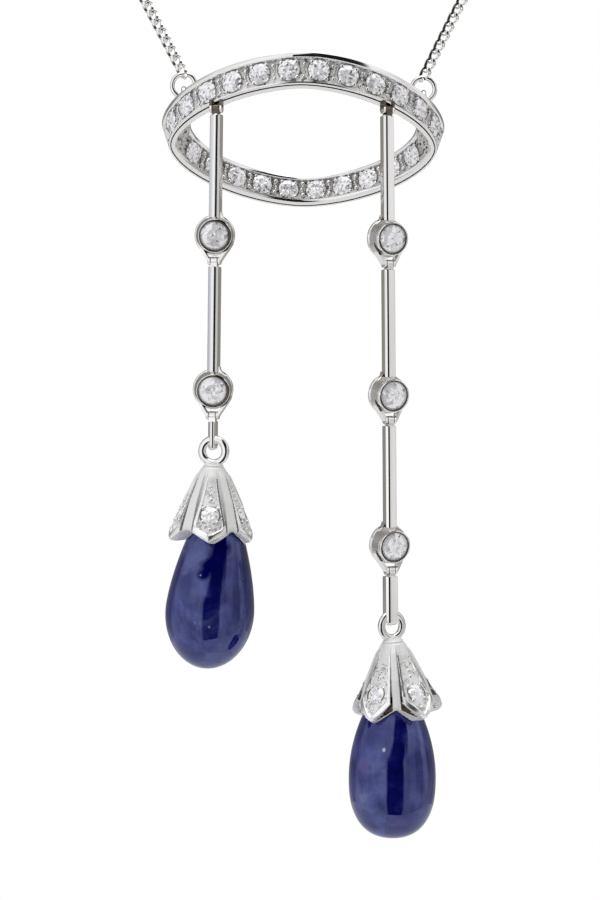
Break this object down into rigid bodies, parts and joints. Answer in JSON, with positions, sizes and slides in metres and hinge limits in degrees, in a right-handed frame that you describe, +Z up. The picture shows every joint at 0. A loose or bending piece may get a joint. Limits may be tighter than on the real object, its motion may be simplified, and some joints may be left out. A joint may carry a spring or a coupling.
{
  "type": "lavaliere necklace",
  "caption": "Fine curb-chain necklace with a tilted stone-set hoop and two hinged bar-and-cup drops of unequal length, each ending in a petal cap and a smooth blue drop stone",
  "frame": {"origin": "Where the chain and its clasp lie on the nape of the neck", "axes": "+Z up, +Y towards the back of the neck, +X to the wearer's left, which is the viewer's right"},
  "size_m": [0.1118, 0.1074, 0.1741],
  "materials": {
    "white_gold": "polished white gold",
    "chain_metal": "polished white gold chain",
    "diamond": "faceted clear stone",
    "sapphire": "smooth polished deep blue stone"
  },
  "bodies": {
    "root": {"chain_left": "chain_metal", "chain_right": "chain_metal", "clasp": "chain_metal", "jump_ring_left": "chain_metal", "jump_ring_right": "chain_metal"},
    "hoop": {"hoop": "white_gold", "hoop_outer_stones": "diamond", "hoop_inner_stones": "diamond"},
    "left_link_1": {"left_bar_1": "white_gold", "left_stone_1": "diamond"},
    "left_link_2": {"left_bar_2": "white_gold", "left_stone_2": "diamond"},
    "left_link_3": {"left_bar_3": "white_gold"},
    "left_drop": {"left_cap": "white_gold", "left_cap_stones": "diamond", "left_sapphire": "sapphire"},
    "right_link_1": {"right_bar_1": "white_gold", "right_stone_1": "diamond"},
    "right_link_2": {"right_bar_2": "white_gold", "right_stone_2": "diamond"},
    "right_link_3": {"right_bar_3": "white_gold", "right_stone_3": "diamond"},
    "right_link_4": {"right_bar_4": "white_gold"},
    "right_drop": {"right_cap": "white_gold", "right_cap_stones": "diamond", "right_sapphire": "sapphire"}
  },
  "joints": [
    {"name": "hoop_swing", "type": "hinge", "parent": "root", "child": "hoop", "pos_m": [0.00005, -0.09777, -0.1109], "axis": [0.9999, 0, -0.0157], "range_deg": [-30, 30]},
    {"name": "left_hinge_1", "type": "hinge", "parent": "hoop", "child": "left_link_1", "pos_m": [-0.00723, -0.10248, -0.11269], "axis": [0.9781, -0.2079, -0.0111], "range_deg": [-30, 30]},
    {"name": "left_hinge_2", "type": "hinge", "parent": "left_link_1", "child": "left_link_2", "pos_m": [-0.00737, -0.10248, -0.12535], "axis": [0.9781, -0.2079, -0.0111], "range_deg": [-30, 30]},
    {"name": "left_hinge_3", "type": "hinge", "parent": "left_link_2", "child": "left_link_3", "pos_m": [-0.00752, -0.10248, -0.13822], "axis": [0.9781, -0.2079, -0.0111], "range_deg": [-30, 30]},
    {"name": "left_drop_swing", "type": "hinge", "parent": "left_link_3", "child": "left_drop", "pos_m": [-0.00754, -0.10248, -0.1402], "axis": [0.9781, -0.2079, -0.0111], "range_deg": [-30, 30]},
    {"name": "right_hinge_1", "type": "hinge", "parent": "hoop", "child": "right_link_1", "pos_m": [0.00702, -0.10262, -0.11283], "axis": [-0.8746, -0.4848, -0.0061], "range_deg": [-30, 30]},
    {"name": "right_hinge_2", "type": "hinge", "parent": "right_link_1", "child": "right_link_2", "pos_m": [0.00711, -0.10262, -0.12562], "axis": [-0.8746, -0.4848, -0.0061], "range_deg": [-30, 30]},
    {"name": "right_hinge_3", "type": "hinge", "parent": "right_link_2", "child": "right_link_3", "pos_m": [0.0072, -0.10262, -0.13862], "axis": [-0.8746, -0.4848, -0.0061], "range_deg": [-30, 30]},
    {"name": "right_hinge_4", "type": "hinge", "parent": "right_link_3", "child": "right_link_4", "pos_m": [0.00729, -0.10262, -0.15112], "axis": [-0.8746, -0.4848, -0.0061], "range_deg": [-30, 30]},
    {"name": "right_drop_swing", "type": "hinge", "parent": "right_link_4", "child": "right_drop", "pos_m": [0.00731, -0.10262, -0.15477], "axis": [-0.8746, -0.4848, -0.0061], "range_deg": [-30, 30]}
  ]
}
